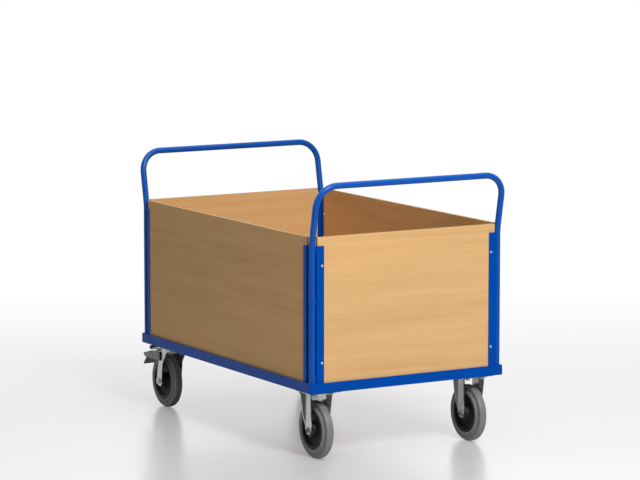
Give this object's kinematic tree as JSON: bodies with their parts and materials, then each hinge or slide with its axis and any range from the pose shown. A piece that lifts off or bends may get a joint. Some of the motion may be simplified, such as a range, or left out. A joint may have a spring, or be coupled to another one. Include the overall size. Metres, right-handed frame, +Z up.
{
  "type": "four-wall platform trolley",
  "caption": "Platform trolley with wooden walls on a blue steel angle frame, tube handles at both ends, fixed casters in front and braked swivel casters behind.",
  "frame": {"origin": "on the floor under the middle of the whole object's box", "axes": "+X along the load bed towards the fixed casters, +Y to the left, +Z up"},
  "size_m": [1.3496, 0.775, 0.961],
  "materials": {
    "blue_paint": "blue powder coat, satin",
    "zinc_steel": "bright zinc plate on pressed steel",
    "beech_board": "beech decor on board, matt",
    "grey_tyre": "grey solid rubber",
    "black_hub": "black moulded plastic",
    "bright_fastener": "zinc-plated fasteners"
  },
  "bodies": {
    "cart": {"caster_bolts": "bright_fastener", "caster_nuts": "bright_fastener", "corner_angles_front_left": "blue_paint", "corner_angles_front_right": "blue_paint", "corner_angles_rear_left": "blue_paint", "corner_angles_rear_right": "blue_paint", "cross_bar_1": "blue_paint", "cross_bar_2": "blue_paint", "cross_bar_3": "blue_paint", "deck_board": "beech_board", "deck_screws": "bright_fastener", "end_panel_front": "beech_board", "end_panel_rear": "beech_board", "end_rail_front": "blue_paint", "end_rail_rear": "blue_paint", "fixed_bracket_left": "zinc_steel", "fixed_bracket_right": "zinc_steel", "front_axle_nuts": "bright_fastener", "front_axles": "bright_fastener", "handle_front": "blue_paint", "handle_rear": "blue_paint", "kingpin_left": "bright_fastener", "kingpin_right": "bright_fastener", "long_rail_left": "blue_paint", "long_rail_right": "blue_paint", "mount_plate_front_left": "blue_paint", "mount_plate_front_right": "blue_paint", "mount_plate_rear_left": "blue_paint", "mount_plate_rear_right": "blue_paint", "panel_bolts": "bright_fastener", "panel_nuts": "bright_fastener", "side_panel_left": "beech_board", "side_panel_right": "beech_board", "swivel_balls": "bright_fastener", "swivel_plate_left": "zinc_steel", "swivel_plate_right": "zinc_steel"},
    "swivel_left": {"swivel_fork_left": "zinc_steel", "rear_axle_left": "bright_fastener", "rear_axle_nuts_left": "bright_fastener", "brake_pin_left": "bright_fastener"},
    "brake_left": {"brake_pedal_left": "zinc_steel", "brake_shoe_left": "zinc_steel"},
    "wheel_front_left": {"wheel_rim_front_left": "black_hub", "wheel_tyre_front_left": "grey_tyre", "wheel_bearing_front_left": "bright_fastener"},
    "wheel_rear_left": {"wheel_rim_rear_left": "black_hub", "wheel_tyre_rear_left": "grey_tyre", "wheel_bearing_rear_left": "bright_fastener"},
    "swivel_right": {"swivel_fork_right": "zinc_steel", "rear_axle_right": "bright_fastener", "rear_axle_nuts_right": "bright_fastener", "brake_pin_right": "bright_fastener"},
    "brake_right": {"brake_pedal_right": "zinc_steel", "brake_shoe_right": "zinc_steel"},
    "wheel_front_right": {"wheel_rim_front_right": "black_hub", "wheel_tyre_front_right": "grey_tyre", "wheel_bearing_front_right": "bright_fastener"},
    "wheel_rear_right": {"wheel_rim_rear_right": "black_hub", "wheel_tyre_rear_right": "grey_tyre", "wheel_bearing_rear_right": "bright_fastener"}
  },
  "joints": [
    {"name": "wheel_front_left_spin", "type": "hinge", "parent": "cart", "child": "wheel_front_left", "pos_m": [0.54515, 0.3095, 0.1], "axis": [0, 1, 0], "continuous": true},
    {"name": "swivel_left_turn", "type": "hinge", "parent": "cart", "child": "swivel_left", "pos_m": [-0.51285, 0.3095, 0.232], "axis": [0, 0, 1], "continuous": true},
    {"name": "wheel_rear_left_spin", "type": "hinge", "parent": "swivel_left", "child": "wheel_rear_left", "pos_m": [-0.55885, 0.3095, 0.1], "axis": [0, 1, 0], "continuous": true},
    {"name": "brake_left_press", "type": "hinge", "parent": "swivel_left", "child": "brake_left", "pos_m": [-0.60585, 0.3095, 0.2], "axis": [0, -1, 0], "range_deg": [0, 12]},
    {"name": "wheel_front_right_spin", "type": "hinge", "parent": "cart", "child": "wheel_front_right", "pos_m": [0.54515, -0.3095, 0.1], "axis": [0, 1, 0], "continuous": true},
    {"name": "swivel_right_turn", "type": "hinge", "parent": "cart", "child": "swivel_right", "pos_m": [-0.51285, -0.3095, 0.232], "axis": [0, 0, 1], "continuous": true},
    {"name": "wheel_rear_right_spin", "type": "hinge", "parent": "swivel_right", "child": "wheel_rear_right", "pos_m": [-0.55885, -0.3095, 0.1], "axis": [0, 1, 0], "continuous": true},
    {"name": "brake_right_press", "type": "hinge", "parent": "swivel_right", "child": "brake_right", "pos_m": [-0.60585, -0.3095, 0.2], "axis": [0, -1, 0], "range_deg": [0, 12]}
  ]
}
